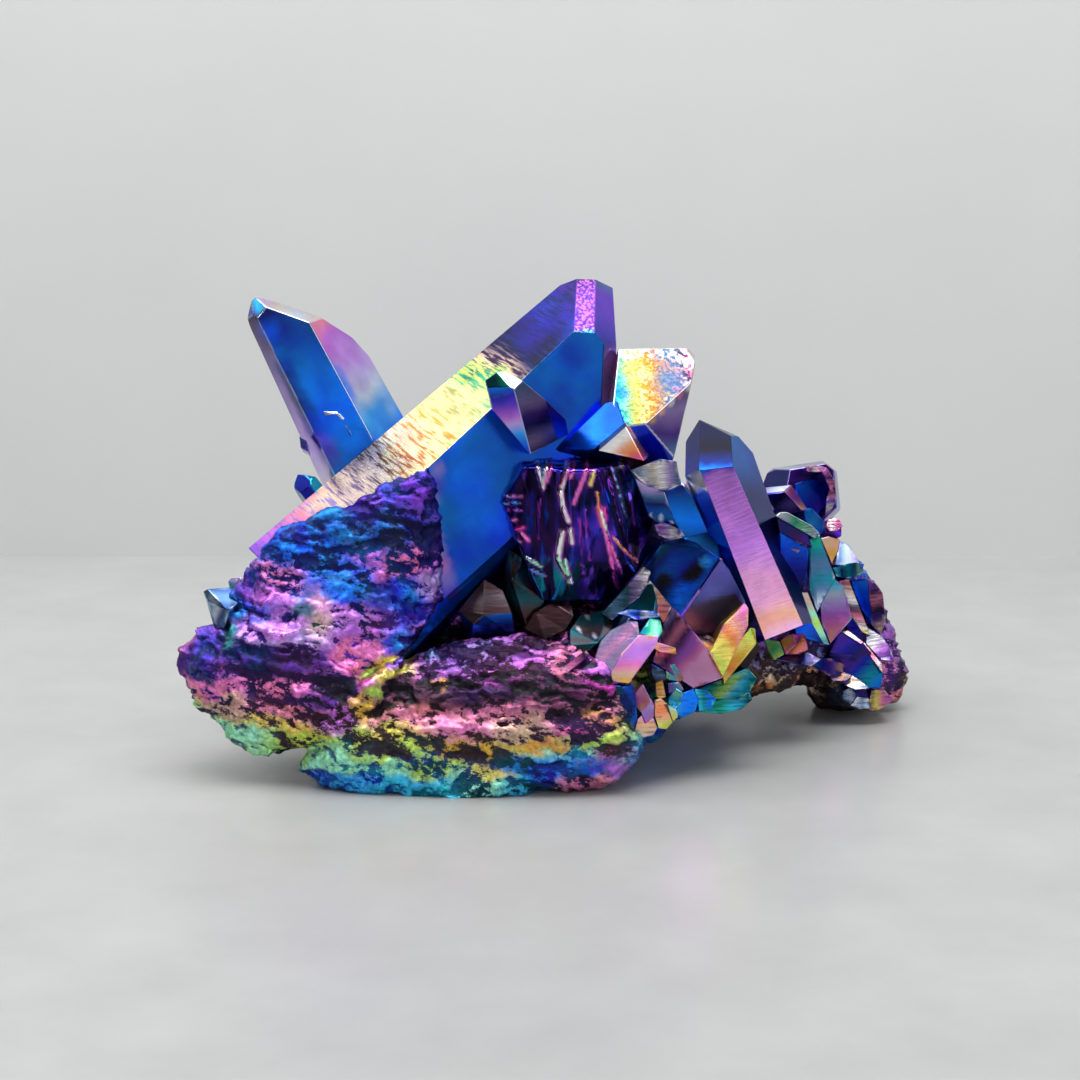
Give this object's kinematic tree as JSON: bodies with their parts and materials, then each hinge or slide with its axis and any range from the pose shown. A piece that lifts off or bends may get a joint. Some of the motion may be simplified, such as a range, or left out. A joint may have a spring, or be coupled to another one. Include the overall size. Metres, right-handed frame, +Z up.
{
  "type": "aura quartz cluster",
  "caption": "Cluster of metal-coated quartz points grown on rough matrix rock, with flat crystal faces and a flat spot underneath to rest on.",
  "frame": {"origin": "bottom centre of the cluster's bounding box, at the level it rests on", "axes": "+X along the ridge of the cluster, +Z up, -Y the side with the broad rock lobe"},
  "size_m": [0.1001, 0.0652, 0.0633],
  "materials": {
    "coated_quartz": "metallic rainbow coating over quartz, glossy on the crystal faces"
  },
  "bodies": {
    "root": {"quartz_cluster": "coated_quartz"}
  },
  "joints": []
}
